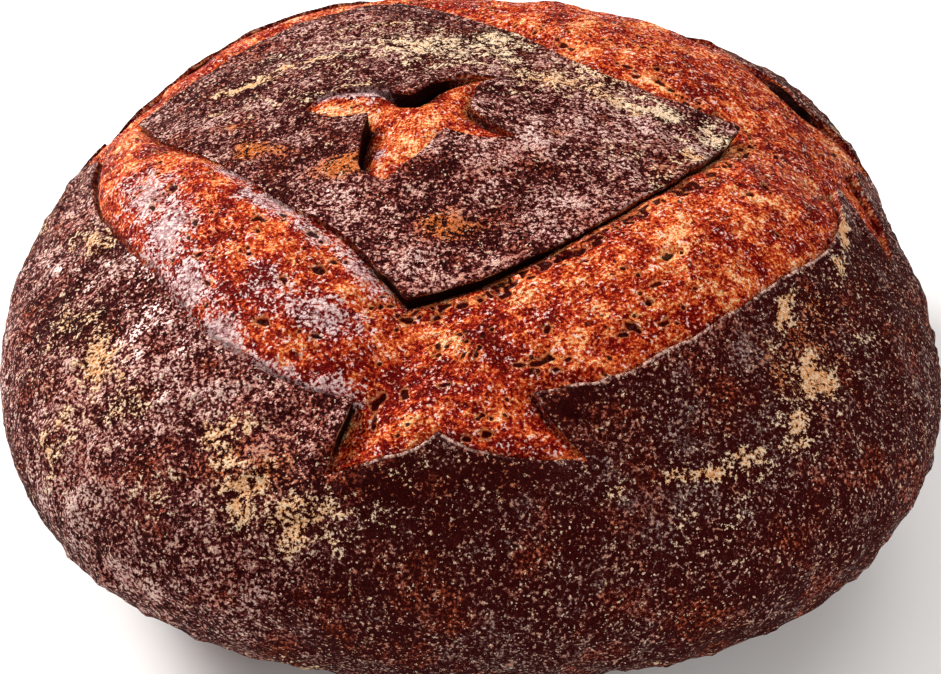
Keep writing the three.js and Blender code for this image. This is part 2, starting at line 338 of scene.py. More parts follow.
# Into the cuts is out of the diamond, and into the other two.
diamond_points, diamond_normal, diamond_numbers = outline(DIAMOND, 11)
loops = [
    (diamond_points, -diamond_normal, diamond_numbers),
    outline(OPENED, 21),
    outline(CROSS, 31),
]


def inside(points, at):
    """Whether each place on the map lies inside a closed outline."""
    found = np.zeros(len(at), bool)
    for (ax, ay), (bx, by) in zip(points, np.roll(points, -1, axis=0)):
        level = (ay > at[:, 1]) != (by > at[:, 1])
        found[level] ^= at[level, 0] < ax + (bx - ax) * (at[level, 1] - ay) / (by - ay)
    return found


def nearest(loop, at):
    """The distance from each place on the map to an outline, the nearest point and its numbers."""
    points, normal, numbers = loop
    tree = kdtree.KDTree(len(points))
    for i, (x, y) in enumerate(points):
        tree.insert((x, y, 0), i)
    tree.balance()
    found = np.array([tree.find((x, y, 0))[1] for x, y in at])
    best, foot, value = np.full(len(at), 1e9), np.zeros((len(at), 2)), np.zeros((len(at), 4))
    for step in (-1, 0):
        start = (found + step) % len(points)
        end = (start + 1) % len(points)
        along = points[end] - points[start]
        share = np.sum((at - points[start]) * along, axis=1) / np.sum(along**2, axis=1)
        share = np.clip(share, 0, 1)[:, None]
        place = points[start] + along * share
        gap = np.hypot(*(at - place).T)
        closer = gap < best
        best[closer], foot[closer] = gap[closer], place[closer]
        value[closer] = (numbers[start] * (1 - share) + numbers[end] * share)[closer]
    return best, foot, value, normal[found]


# The points of the mesh: rings round the crown, fine where the cuts are, and rows along
# each cut's edge where the crust turns down into the gap.
CUTS_REACH = 122.0  # way from the crown past which there are no cuts
FINE, COARSE, HIDDEN = 1.0, 1.6, 3.0
ROWS_INTO_CUT = (0.4, 0.8, 1.3, 2.0, 2.9, 3.9)
ROWS_INTO_CRUST = (0.5, 1.3, 2.3)
POLE = 3.0  # the underside's rings end this far from its middle
HIDDEN_FROM, HIDDEN_ALL = 215, 240  # ways from the crown between which the rings grow coarse
ROW_ROOM = 0.6  # the least room between a cut's rows and the rings
ROW_PITCH = 0.34  # two points of the rows in one square of this size are made one

rng = np.random.default_rng(7)
rings = []
way = FINE
while way < section_way[-1] - POLE:
    ways = (CUTS_REACH, CUTS_REACH + 12, HIDDEN_FROM, HIDDEN_ALL)
    spacing = np.interp(way, ways, (FINE, COARSE, COARSE, HIDDEN))
    count = int(2 * math.pi * np.interp(way, section_way, section_radius) / spacing)
    angle = (np.arange(count) + rng.uniform()) * 2 * math.pi / count
    rings.append(way * np.column_stack((np.cos(angle), np.sin(angle))))
    way += spacing * 0.93
last_ring = len(rings[-1])
rings = np.vstack(rings)
near = np.hypot(*rings.T) < CUTS_REACH
distance = np.full(len(rings), 1e9)
for loop in loops:
    distance[near] = np.minimum(distance[near], nearest(loop, rings[near])[0])
in_cut = inside(loops[1][0], rings) & ~inside(loops[0][0], rings) | inside(loops[2][0], rings)
keep = distance > np.where(in_cut, ROWS_INTO_CUT[-1], ROWS_INTO_CRUST[-1]) + ROW_ROOM

rows = []
for points, normal, _ in loops:
    for offset in ROWS_INTO_CUT + tuple(-r for r in ROWS_INTO_CRUST):
        rows.append((points + normal * offset, abs(offset)))
row_points = np.vstack([p for p, _ in rows])
row_offset = np.concatenate([np.full(len(p), o) for p, o in rows])
row_distance = np.min([nearest(loop, row_points)[0] for loop in loops], axis=0)
row_points = row_points[row_distance > 0.9 * row_offset]
_, first = np.unique(np.round(row_points / ROW_PITCH), axis=0, return_index=True)
row_points = row_points[np.sort(first)]

flat = np.vstack([points for points, _, _ in loops] + [row_points, rings[keep]])
edges, start = [], 0
for points, _, _ in loops:
    count = len(points)
    edges += [(start + i, start + (i + 1) % count) for i in range(count)]
    start += count

# The mesh is joined up on a second map that keeps shapes: its triangles are good all over.
mean_radius = (section_radius[2:] + section_radius[1:-1] + 1e-6) / 2
stretch = np.append(0, np.cumsum(np.diff(section_way)[1:] / mean_radius))
way = np.hypot(*flat.T)
spread = np.exp(np.interp(way, section_way[1:], stretch) - stretch[len(quarter) - 2])
small = way < section_way[1]
spread[small] = way[small] / section_way[1] * np.exp(-stretch[len(quarter) - 2])
even = flat / way[:, None] * spread[:, None]
joined = delaunay_2d_cdt([Vector(p) for p in even], edges, [], 0, 1e-9)
source = [o[0] if o else -1 for o in joined[3]]
if -1 in source:
    raise SystemExit("two cuts' outlines cross")
at = flat[source]
faces = np.array(joined[2])

# Closes the underside with a fan to its middle.
ring_start = len(flat) - last_ring
renumber = {old: new for new, old in enumerate(source)}
ring = [renumber[ring_start + i] for i in range(last_ring)]
tip = len(at)
at = np.vstack((at, [(section_way[-1], 0)]))
fan = [(ring[(i + 1) % last_ring], ring[i], tip) for i in range(last_ring)]
faces = np.vstack((faces, fan))

# Where each vertex is against the cuts.
near = np.hypot(*at.T) < CUTS_REACH + 14
infos = []
for loop in loops:
    gap, foot = np.full(len(at), 1e3), at.copy()
    value, side = np.zeros((len(at), 4)), np.zeros((len(at), 2))
    gap[near], foot[near], value[near], side[near] = nearest(loop, at[near])
    infos.append((gap, foot, value, side))
in_diamond = inside(loops[0][0], at)
in_opened = inside(loops[1][0], at)
in_cross = inside(loops[2][0], at)
gaps = np.array([info[0] for info in infos])
which = np.argmin(gaps, axis=0)
everyone = np.arange(len(at))
gap = gaps[which, everyone]
foot = np.array([info[1] for info in infos])[which, everyone]
value = np.array([info[2] for info in infos])[which, everyone]
side = np.array([info[3] for info in infos])[which, everyone]
on_edge = gap < 0.02
crumb = (in_opened & ~in_diamond | in_cross) & ~on_edge
towards_cut = np.where(on_edge[:, None], side, (at - foot) / np.maximum(gap, 1e-6)[:, None])
towards_cut[~crumb & ~on_edge] *= -1
depth = np.where(crumb, gap, -gap)
depth[on_edge] = 0

# The crumb's own surface: a soft ridge along each opened cut, between the levels at its edges.
lift, hang, groove, level = value.T
inner, outer = gaps[0], gaps[1]
CUTS_MIDDLE = (-13, 17)
middle = to_map([CUTS_MIDDLE])[0]
turn = np.degrees(np.arctan2(*(at - middle).T[::-1])) % 360
corners = (0, 30, 55, 96, 131, 166, 190, 220, 250, 269, 288, 313, 335)
swells = (1.5, 4.0, 4.2, 1.5, 3.4, 1.4, 3.6, 4.6, 4.2, 0.8, 3.8, 4.8, 4.4)
swell = np.interp(turn, corners, swells, period=360)
across = inner / np.maximum(inner + outer, 1e-6)
ridge = np.sin(np.pi * np.clip(across, 0, 1) ** 0.8) ** 0.9
crumb_height = infos[0][2][:, 3] * (1 - across) + infos[1][2][:, 3] * across + swell * ridge
cross_height = infos[2][2][:, 3] + 1.6 * np.clip(gaps[2] / 6, 0, 1)
crumb_height = np.where(in_cross, cross_height, crumb_height)

links = np.vstack((faces[:, :2], faces[:, 1:], faces[:, ::2]))
links = links[crumb[links].all(axis=1)]


def relax(field, rounds):
    """The field with each crumb vertex drawn towards the mean of its neighbours, again and again."""
    first, second = links.T
    count = np.bincount(links.ravel(), minlength=len(field))
    for _ in range(rounds):
        total = np.bincount(first, field[second], len(field))
        total += np.bincount(second, field[first], len(field))
        field = np.where(count > 0, total / np.maximum(count, 1), field)
    return field


crumb_height = relax(crumb_height, 30)

# Coordinates along and across the opened cuts, for the strands and the holes in the crumb.
BAND_RADIUS, BAND_WIDTH = 85, 34
STRAND_WIDTH, STRAND_LENGTH = 1.5, 11
along_cut = np.radians(turn) * BAND_RADIUS
strand = np.column_stack((across * BAND_WIDTH / STRAND_WIDTH, along_cut / STRAND_LENGTH))
fibres = noise(strand, 1.0, 41) + 0.6 * noise(strand * (2.1, 1.7), 1.0, 42)
lumps = noise(at, 9, 43) + 0.5 * noise(at, 4.5, 44)
crumb_height = crumb_height + 0.34 * fibres + 0.6 * lumps + 0.3 * noise(at, 2.1, 45)

# The crust's own surface: broad dents and a skin of small lumps.
smooth_place = surface(at)
crust_height = (
    0.9 * noise(smooth_place, 42, 51)
    + 0.6 * noise(smooth_place, 17, 52)
    + 0.5 * noise(smooth_place, 7.5, 53)
    + 0.5 * noise(smooth_place, 4.1, 54)
    + 0.25 * noise(smooth_place, 2.1, 55)
)

# From the edge of the crust, down its cut face, back under it and up onto the crumb.
knots = np.array((0, *ROWS_INTO_CUT))
hats = [np.interp(depth, knots, row) for row in np.eye(len(knots))]
thick = np.minimum(1.3, 0.3 + 0.3 * lift)
wide_gap = np.clip((groove - 1.0) / 1.4, 0, 1)
sideways = (
    hang,
    hang + 0.05 + 0.1 * (1 - wide_gap),
    (0.2 * hang + 0.3) * wide_gap + 0.35 * (1 - wide_gap),
    (0.5 - 0.6 * hang) * wide_gap + 0.8 * (1 - wide_gap),
    1.0 + 0.6 * (1 - wide_gap),
    2.4 + 0.2 * (1 - wide_gap),
    3.9,
)
drop = level - groove
heights = (
    lift,
    (lift - thick) * wide_gap + (lift * 0.4 + drop * 0.6) * (1 - wide_gap),
    (0.4 * lift + 0.6 * drop - 0.6) * wide_gap + (drop + 0.15 * groove) * (1 - wide_gap),
    drop * wide_gap + (level - 0.1 * groove) * (1 - wide_gap),
    (level - 0.85 * groove) * wide_gap + level * (1 - wide_gap),
    (level - 0.35 * groove) * wide_gap + level * (1 - wide_gap),
    None,
)
blend_out = np.clip(depth / knots[-1], 0, 1) ** 2
shift, lifted = np.zeros(len(at)), np.zeros(len(at))
for hat, x, z in zip(hats, sideways, heights):
    shift += hat * x
    lifted += hat * (crumb_height if z is None else z)
lifted = lifted * (1 - blend_out) + crumb_height * blend_out
EAR_REACH, HANG_REACH = 6.5, 3.0
ear = lift * np.exp(-((gap / EAR_REACH) ** 1.5))
crust_shift = hang * np.exp(-((gap / HANG_REACH) ** 2))
crumb_shift = np.where(depth < knots[-1], shift - depth, 0)
into_cut = np.where(crumb, crumb_shift, crust_shift)
near_edge = np.exp(-((gap / 2.0) ** 2))
height = np.where(crumb, lifted, ear + crust_height * (1 - 0.6 * near_edge))
clear_of_table = np.clip(smooth_place[:, 2] / 6, 0, 1)
height = height * clear_of_table

moved = at + towards_cut * into_cut[:, None]
place = surface(moved) + outward(moved) * height[:, None]


def vertex_normals(place):
    """The normal at each vertex, from the faces round it."""
    a, b, c = (place[faces[:, i]] for i in range(3))
    flat_normal = np.cross(b - a, c - a)
    total = np.zeros_like(place)
    for i in range(3):
        for axis in range(3):
            total[:, axis] += np.bincount(faces[:, i], flat_normal[:, axis], len(place))
    return total / np.maximum(np.linalg.norm(total, axis=1, keepdims=True), 1e-9)


# Blisters on the crust, and holes in the crumb where bubbles burst.
BLISTERS, HOLES = 3200, 360
DEEPEST_HOLE = 2.2
tree = kdtree.KDTree(len(place))
for i, p in enumerate(smooth_place):
    tree.insert(p, i)
tree.balance()
relief, cavity = np.zeros(len(at)), np.zeros(len(at))
visible = smooth_place[:, 2] > 3
crust_centres = np.flatnonzero(~crumb & visible & (gap > 3))
spacing = np.where(near, FINE, COARSE)
chance = spacing[crust_centres] ** 2
for i in rng.choice(crust_centres, BLISTERS, replace=False, p=chance / chance.sum()):
    size = 0.9 + 1.9 * rng.random() ** 2
    tall = size * rng.uniform(0.12, 0.3)
    for _, j, d in tree.find_range(smooth_place[i], size * 1.6):
        relief[j] += tall * math.exp(-((d / size) ** 2) * 1.6)
crumb_centres = np.flatnonzero(crumb & (gap > 2.2) & ~in_cross)
ragged = noise(at, 1.7, 62)
side_turn, side_inner = turn[crumb_centres], inner[crumb_centres]
row = np.exp(-((side_inner - 5.0) / 1.6) ** 2)
hole_turns = (0, 10, 166, 185, 255, 262, 275, 350, 360)
facing = np.interp(side_turn, hole_turns, (3.0, 0.6, 0.1, 0.5, 0.6, 0.3, 3.0, 3.0, 3.0))
low_arc = 1.2 * np.exp(-((outer[crumb_centres] - 7) / 3.0) ** 2) * ((side_turn > 262) & (side_turn < 300))
liking = 0.05 + facing * row + 0.3 * low_arc + 0.25 * (noise(at[crumb_centres], 14, 61) > 0.35)
for i in rng.choice(crumb_centres, HOLES, replace=False, p=liking / liking.sum()):
    wide = 0.45 + 0.6 * rng.random() ** 2
    long = wide * rng.uniform(1.0, 2.4)
    deep = rng.uniform(0.8, 1.5) * wide
    twist = rng.uniform(-0.5, 0.5)
    axis = np.array((-towards_cut[i][1], towards_cut[i][0]))
    for _, j, d in tree.find_range(smooth_place[i], long * 1.7):
        if not crumb[j]:
            continue
        step = at[j] - at[i]
        a, b = step @ axis / long, (step[0] * axis[1] - step[1] * axis[0]) / wide
        b += twist * a * a + 0.5 * ragged[j]
        fall = math.exp(-((a * a + b * b) ** 1.8))
        cavity[j] = max(cavity[j], fall)
        relief[j] -= deep * fall
relief[crumb] = np.maximum(relief[crumb], -DEEPEST_HOLE)
place = place + vertex_normals(place) * (relief * clear_of_table)[:, None]
place[:, 2] = np.maximum(place[:, 2], 0)

loaf_mesh = bpy.data.meshes.new("sourdough_loaf")
loaf_mesh.from_pydata((place * MM).tolist(), [], faces.tolist())
loaf_mesh.update()
loaf = bpy.data.objects.new("sourdough_loaf", loaf_mesh)
scene.collection.objects.link(loaf)
for polygon in loaf_mesh.polygons:
    polygon.use_smooth = True
print("loaf:", len(place), "vertices,", len(faces), "triangles")


PLAN_ENDS = 25  # under this height the spots, which are drawn in plan, fade away


def spots(table, reach):
    """How much each vertex lies in a set of soft spots.

    A spot is x and y in plan, half its length, half its width, its turn in degrees and its strength.
    """
    total = np.zeros(len(at))
    ragged = 0.35 * noise(at, 11, 71) + 0.3 * noise(at, 4, 72)
    for x, y, long, wide, turned_by, strength in table:
        step = smooth_place[:, :2] + MIDDLE - (x, y)
        c, s = math.cos(math.radians(turned_by)), math.sin(math.radians(turned_by))
        u, v = (step[:, 0] * c + step[:, 1] * s) / long, (step[:, 1] * c - step[:, 0] * s) / wide
        total = np.maximum(total, strength * np.clip(1.15 - np.hypot(u, v) + reach * ragged, 0, 1))
    total[smooth_place[:, 2] < PLAN_ENDS] *= 0.3
    return total


# Where the baker's flour lies on the crust.
FLOUR = (
    # Right side: a broad streak, and thin ones below it.
    (73, -57, 4, 10, -15, 1.5), (80, -70, 8, 9, -30, 1.4), (74, -83, 6, 10, -30, 1.1),
    (88, -37, 3, 8, -20, 1.0), (91, -22, 2.5, 10, -6, 1.7), (50, -99, 19, 2.5, 14, 1.3),
    (33, -104, 8, 3, 10, 1.0), (62, -93, 8, 3, 20, 1.0), (47, -108, 9, 2, 60, 0.7),
    (91, -57, 2.5, 8, -20, 0.9), (96, -55, 6, 12, -40, 0.5), (60, -104, 7, 2, 60, 0.6),
    # Left side.
    (-87, -64, 8, 15, 20, 1.2), (-80, -75, 10, 8, 0, 1.0), (-92, -20, 8, 12, 40, 0.9),
    (-96, -74, 10, 10, 0, 0.8), (-55, -89, 9, 6, 0, 1.0), (-50, -101, 10, 8, -20, 1.1),
    (-38, -107, 13, 7, -10, 1.1), (-98, -46, 9, 14, 60, 0.9), (-70, -98, 10, 7, -30, 0.6),
    (-20, -108, 12, 4, 0, 0.5), (-10, -101, 12, 2, 0, 0.5),
    # The middle plate: thick in its right corner, in thin streaks over its back.
    (48, 11, 12, 5, -5, 1.5), (40, 13, 10, 4, -5, 1.3), (62, 5, 8, 8, -30, 1.5), (54, -8, 5, 8, -40, 1.2),
    (48, -18, 4, 9, -40, 0.8), (30, 18, 14, 5, -20, 1.0), (34, 27, 14, 5, -40, 0.9),
    (2, 30, 26, 5, -8, 0.9), (-6, 44, 54, 24, 0, 1.0), (28, 20, 32, 11, -20, 1.0),
    (62, 4, 9, 9, -30, 1.6), (-18, 44, 24, 3, 0, 1.2), (-45, 40, 18, 3, 8, 1.3),
    (-60, 34, 13, 3.5, 8, 1.4), (-33, 19, 16, 2.5, 5, 0.9), (-66, 22, 12, 3, 20, 1.0),
    (-20, 60, 24, 4, 0, 1.1), (12, 46, 16, 3, -20, 1.1), (18, 22, 18, 3, -8, 1.1),
    (-50, 20, 26, 12, 10, 0.5), (40, -8, 20, 8, 30, 0.5), (8, 12, 12, 3, -10, 0.8),
    (85, 62, 6, 3, -50, 0.8), (60, 86, 8, 3, -35, 0.7),
    # Back.
    (-70, 84, 10, 6, 45, 0.9), (-30, 112, 14, 6, 10, 0.9), (20, 114, 16, 5, -5, 0.8),
    (72, 86, 12, 6, -45, 0.9), (104, 50, 6, 12, 20, 0.8), (-112, 10, 5, 12, 0, 0.7),
)
# Where the crust stayed golden; where it charred, with painted shadow under the curled ears; and where
# the crumb's skin stayed pale, with a painted sheen on it.
GOLD = (
    (-52, -5, 11, 4.5, -25, 0.8), (-32, -18, 10, 5, 0, 0.75), (-6, -40, 9, 6, 10, 0.8),
    (50, -14, 6, 9, -40, 0.5), (-62, 10, 8, 3, -20, 0.5), (22, -4, 6, 3, 20, 0.3),
    (78, -66, 12, 20, -20, 0.45), (-48, -98, 18, 10, -25, 0.5), (-86, -64, 14, 16, 40, 0.45),
)
CHAR_AND_SHADOW = (
    (0, -112, 70, 12, 0, 0.8), (40, -92, 30, 14, 18, 0.8), (-64, -84, 26, 10, -50, 0.6),
    # Painted shadow: the strong spots at the right plate's corner and along its ear, and those under the
    # front ear's edge.
    (22, -89, 8, 4, 30, 3.0), (40, -80, 18, 2.5, 30, 1.4), (62, -62, 18, 2.5, 40, 1.0),
    (-6, -82, 26, 12, 0, 1.2), (-12, -103, 22, 6, 0, 3.0), (14, -103, 18, 4, 0, 2.4),
    (-38, -64, 16, 8, -40, 1.4), (-16, -80, 14, 8, 0, 0.8), (-20, -46, 16, 10, 30, 0.7),
    (30, -20, 26, 12, 40, 0.6), (-64, -2, 14, 4, -40, 1.0), (-44, -24, 14, 4, -45, 0.8),
    (100, -30, 14, 30, 0, 0.4), (-36, -20, 10, 5, -40, 0.3), (-30, 6, 12, 5, 0, 0.4),
    (-84, -42, 6, 14, -35, 1.0),
)
PALE_SKIN_AND_SHEEN = (
    # The skin under the curled edge of the small cross.
    (-30, 15.5, 12, 2.6, -6, 1.5), (-22, -10, 6, 1.5, 80, 0.7),
    # The dry skin down the outer side of the swollen crumb, and along the middle plate, lightened further
    # by a painted sheen.
    (-78, -16, 15, 8, -70, 1.0), (-71, -34, 16, 8, -74, 1.1), (-65, -50, 15, 7, -66, 1.1),
    (-56, -66, 14, 5, -50, 1.0), (-43, -79, 14, 4, -35, 1.0), (-31, -84, 10, 5, -15, 1.1),
    (-32, -66, 14, 7, -30, 0.7), (-44, -58, 10, 7, -50, 0.5), (-60, -12, 10, 3.5, -46, 1.0),
    (-48, -28, 12, 4, -46, 1.0), (-36, -42, 11, 3.5, -46, 0.9), (-24, -56, 11, 3, -52, 1.0),
)
# Where the crumb, and the flour by it, are lightest.
CREAM = (
    # The front right band: two bright swells, gold between them and by the corners.
    (59, -28, 9, 5, 60, 1.3), (50, -40, 9, 4, 40, 1.3), (42, -46, 9, 3, 35, 1.0),
    (13, -64, 10, 4, 10, 1.5), (22, -67, 8, 3, -50, 0.8), (42, -55, 7, 4, 30, 0.8),
    (65, -48, 8, 3, 40, 1.0), (67, -38, 6, 4, 60, 0.8), (64, -12, 14, 2.5, 50, 1.0),
    (-11, -71, 7, 4, 0, 1.1), (-3, -75, 9, 3, 0, 0.8), (34, -78, 14, 2.5, 20, 0.8),
    (-20, -76, 6, 3, 20, 0.6), (-18, -92, 9, 4, 0, 1.0), (18, -94, 8, 2.5, 0, 0.9),
    (2, -88, 8, 2, 15, 0.7),
    # The middle plate's flour, and the back right band beside it.
    (50, 11, 14, 8, -10, 1.0), (62, 2, 8, 10, -30, 1.0), (0, 42, 52, 18, 0, 0.6), (76, 14, 9, 5, 80, 0.8),
    (50, 25, 14, 4, -30, 1.0), (30, 40, 14, 3, -40, 1.2), (12, 60, 16, 3, -55, 0.9),
    # The front left band, the cross and the back.
    (-88, 10, 6, 14, 10, 1.3), (-90, 24, 6, 9, 0, 1.1), (-50, -20, 10, 3, -40, 0.8),
    (-62, -6, 9, 3, -40, 0.7), (-12, 0, 18, 12, 50, 1.2), (-34, 10, 9, 5, 0, 1.2),
    (10, -8, 8, 4, -30, 1.0), (-60, 66, 24, 5, 35, 0.8), (-80, -12, 4, 14, 25, 0.7),
)


def store(name, field):
    """Keeps a number for each vertex, for the material to read."""
    layer = loaf_mesh.attributes.new(name, "FLOAT", "POINT")
    layer.data.foreach_set("value", np.asarray(field, np.float32))


store("depth", depth)
store("flour", spots(FLOUR, 1.0) * (~crumb))
store("gold", spots(GOLD, 0.8))
# The char field also holds the painted shadow under the ears, and it grows darker towards the bottom.
towards_table = np.clip((40 - smooth_place[:, 2]) / 40, 0, 1)
store("char_and_shade", spots(CHAR_AND_SHADOW, 0.6) * (smooth_place[:, 2] >= PLAN_ENDS) + towards_table * 0.7)
# Darker over the front right of the loaf, and low at its back.
towards_front_right = (0.62 * smooth_place[:, 0] - 0.78 * smooth_place[:, 1]) / RADIUS
back = np.clip((smooth_place[:, 1] - 55) / 30, 0, 0.8) * (smooth_place[:, 2] < 92)
darker = np.maximum((towards_front_right - 0.38) / 0.34, back) + 0.5 * noise(smooth_place, 24, 73)
store("dark_side", np.clip(darker, 0, 1))
store("skin_and_sheen", spots(PALE_SKIN_AND_SHEEN, 0.7))
store("cream", spots(CREAM, 0.8))
store("cavity", cavity)
store("knob", np.clip(relief / 0.5, 0, 1))
store("fibre", fibres)
store("along", along_cut)
store("across", across * BAND_WIDTH)
store("gap", np.clip(groove / 2.2, 0, 1))
curled = np.where(which == 1, (lift - 1.8) / 2.4, (lift - 0.6) / 2.0)
store("rim", np.clip(curled, 0, 1))
# Where a rim is painted in shade: over the deep gaps by the middle plate and the cross.
store("shade", np.clip(groove / 2.2, 0, 1) * (which != 1))

# The flat map that the loaf's colours are kept on: the crown's map, squared up and with the
# underside drawn together.
way, angle = np.hypot(*at.T), np.arctan2(at[:, 1], at[:, 0])
reach = np.interp(way, (0, 200, section_way[-1]), (0, 0.8, 0.98))
square = 1 / np.maximum(np.abs(np.cos(angle)), np.abs(np.sin(angle)))
reach = reach * (1 + (square - 1) * reach**2)
uv = 0.5 + 0.5 * np.column_stack((reach * np.cos(angle), reach * np.sin(angle)))
uv_layer = loaf_mesh.uv_layers.new(name="OFBake")
loop_vertex = np.empty(len(loaf_mesh.loops), int)
loaf_mesh.loops.foreach_get("vertex_index", loop_vertex)
uv_layer.data.foreach_set("uv", uv[loop_vertex].astype(np.float32).ravel())


class Value:
    """A number in a material. Arithmetic on it adds Math nodes."""

    def __init__(self, recipe, socket):
        self.recipe, self.socket = recipe, socket

    def math(self, operation, *values):
        """The result of one Math node."""
        return self.recipe.node("ShaderNodeMath", {"operation": operation}, dict(enumerate(values)))

    def __add__(self, other):
        return self.math("ADD", self, other)

    def __mul__(self, other):
        return self.math("MULTIPLY", self, other)

    def __sub__(self, other):
        return self.math("SUBTRACT", self, other)

    def __rsub__(self, other):
        return self.math("SUBTRACT", other, self)

    __radd__, __rmul__ = __add__, __mul__

    def over(self, low, high):
        """0 below low, 1 above high, and smooth between them."""
        settings = {"interpolation_type": "SMOOTHSTEP"}
        sockets = {"Value": self, "From Min": low, "From Max": high}
        return self.recipe.node("ShaderNodeMapRange", settings, sockets)


class Recipe:
    """A material and the nodes that it is built from."""

    def __init__(self, name):
        self.material = bpy.data.materials.new(name)
        self.material.use_nodes = True
        self.tree = self.material.node_tree
        self.surface = self.tree.nodes["Principled BSDF"]
        self.place = self.node("ShaderNodeTexCoord", {}, {}, "Object")

    def node(self, kind, settings, sockets, output=0):
        """One of a new node's outputs. Its settings are made first, then its sockets are fed."""
        made = self.tree.nodes.new(kind)
        for name, setting in settings.items():
            setattr(made, name, setting)
        for name, content in sockets.items():
            self.feed(made.inputs[name], content)
        return Value(self, made.outputs[output])

    def feed(self, socket, content):
        """Links a socket to a value, or sets it to a number or a colour."""
        if isinstance(content, Value):
            self.tree.links.new(content.socket, socket)
        elif isinstance(content, tuple) and len(content) == 3 and socket.type == "RGBA":
            socket.default_value = (*content, 1)
        else:
            socket.default_value = content

    def field(self, name):
        """A number that was stored on the loaf's vertices."""
        return self.node("ShaderNodeAttribute", {"attribute_name": name}, {}, "Fac")

    def noise(self, size_mm, detail=2.0, roughness=0.5, place=None):
        """A noise from 0 to 1, with lumps of about that size."""
        sockets = {"Vector": place or self.place, "Scale": 1 / (size_mm * MM)}
        sockets |= {"Detail": detail, "Roughness": roughness}
        return self.node("ShaderNodeTexNoise", {}, sockets, "Fac")

    def cells(self, place, size_mm, feature="F1"):
        """The distance from the middle of the nearest of many cells, or from its edge."""
        sockets = {"Vector": place, "Scale": 1 / (size_mm * MM)}
        return self.node("ShaderNodeTexVoronoi", {"feature": feature}, sockets, "Distance")

    def ramp(self, factor, stops):
        """A colour that runs through the stops as the factor passes their places."""
        made = self.node("ShaderNodeValToRGB", {}, {"Fac": factor})
        elements = made.socket.node.color_ramp.elements
        while len(elements) < len(stops):
            elements.new(0.5)
        for element, (place, colour) in zip(elements, stops):
            element.position = place
            element.color = (*colour, 1)
        return made

    def mix(self, first, second, factor):
        """The first colour turned into the second as the factor goes from 0 to 1."""
        return self.node("ShaderNodeMix", {"data_type": "RGBA"}, {0: factor, 6: first, 7: second}, 2)


# Colours, as linear red, green and blue. Those of the crust and the crumb run from the hardest
# baked to the lightest. The crust's palest pinks stand partly for painted glints.
CRUST_TINTS = (
    (0.04, (0.024, 0.001, 0.001)), (0.28, (0.080, 0.009, 0.008)), (0.48, (0.19, 0.045, 0.037)),
    (0.68, (0.41, 0.148, 0.125)), (0.88, (0.84, 0.490, 0.43)), (1.0, (0.98, 0.740, 0.67)),
)
CRUMB_TINTS = (
    (0.0, (0.11, 0.001, 0.001)), (0.24, (0.30, 0.012, 0.004)), (0.46, (0.51, 0.052, 0.010)),
    (0.68, (0.76, 0.16, 0.033)), (0.90, (0.98, 0.40, 0.15)), (1.0, (1.0, 0.60, 0.30)),
)
DARK_CRUST = (0.040, 0.003, 0.003)
RED_CRUST = (0.46, 0.07, 0.022)
GOLDEN_CRUST = (0.74, 0.19, 0.04)
TOASTED_FLOUR, FRESH_FLOUR = (0.88, 0.38, 0.14), (1.0, 0.77, 0.53)
STRAY_FLOUR = (0.95, 0.70, 0.52)
DULL_SKIN, DRY_SKIN_AND_SHEEN = (0.40, 0.20, 0.20), (0.90, 0.68, 0.67)
PAINTED_HOLE_SHADE, HOLE_BRIM = (0.030, 0.001, 0.001), (0.95, 0.46, 0.16)
PAINTED_GAP_SHADOW = (0.010, 0.001, 0.001)
BURNT_FLAKE, PALE_FLAKE = (0.24, 0.06, 0.04), (0.90, 0.60, 0.50)
SHADED_RIM = (0.06, 0.012, 0.008)

bread = Recipe("baked_crust_and_crumb")
fine = bread.noise(0.75, 2, 0.65)
coarse = bread.noise(2.2, 3, 0.6)
granule = bread.cells(bread.place, 1.3)
patch = bread.noise(11, 4, 0.6)
broad = bread.noise(42, 3, 0.55)
# Charring, with painted shadow under the ears, and darker towards the bottom.
char_and_shade = bread.field("char_and_shade")
grain = (fine - 0.5) * 2.8 + (0.42 - granule) * 0.7 + (coarse - 0.5) * 1.0

# The crust: black between its grains, then maroon, and dusty pink on top of them. The black is partly
# painted shade and the pink partly painted glints; the lumps are painted darker in their hollows and
# lighter on top, and the blisters lighter on top.
knob = bread.field("knob")
clump = bread.noise(3.2, 4, 0.7)
bake_and_painted_light = 0.45 + grain * 1.35 + (clump - 0.5) * 1.7 + (patch - 0.5) * 1.6 + (broad - 0.5) * 1.2
bake_and_painted_light = bake_and_painted_light - char_and_shade * 0.17 + knob * 0.2
crust_tint = bread.ramp(bake_and_painted_light, CRUST_TINTS)
dark_side = bread.field("dark_side")
crust_tint = bread.mix(crust_tint, DARK_CRUST, dark_side * (0.92 - grain.over(0.1, 0.5) * 0.38))
warm = bread.noise(15, 3, 0.6).over(0.48, 0.64) * grain.over(-0.2, 0.4)
crust_tint = bread.mix(crust_tint, RED_CRUST, warm * 0.6)
gold = bread.field("gold") * 0.8 + grain * 0.8 + (clump - 0.5) * 1.2
crust_tint = bread.mix(crust_tint, GOLDEN_CRUST, gold.over(0.2, 0.6) * 0.9)
cream = bread.field("cream")
flour = bread.field("flour") * 0.5 + grain * 0.55 + (clump - 0.5) * 1.9
floured = flour.over(0.36, 0.5)
freshness = (grain + clump - 0.5 + cream * 0.5).over(-0.2, 0.5)
flour_tint = bread.mix(TOASTED_FLOUR, FRESH_FLOUR, freshness)
crust_tint = bread.mix(crust_tint, flour_tint, floured * 0.95)
stray = bread.noise(0.9, 1, 0.5).over(0.68, 0.72)
crust_tint = bread.mix(crust_tint, STRAY_FLOUR, stray * (1 - char_and_shade.over(0.8, 1.6)) * 0.85)

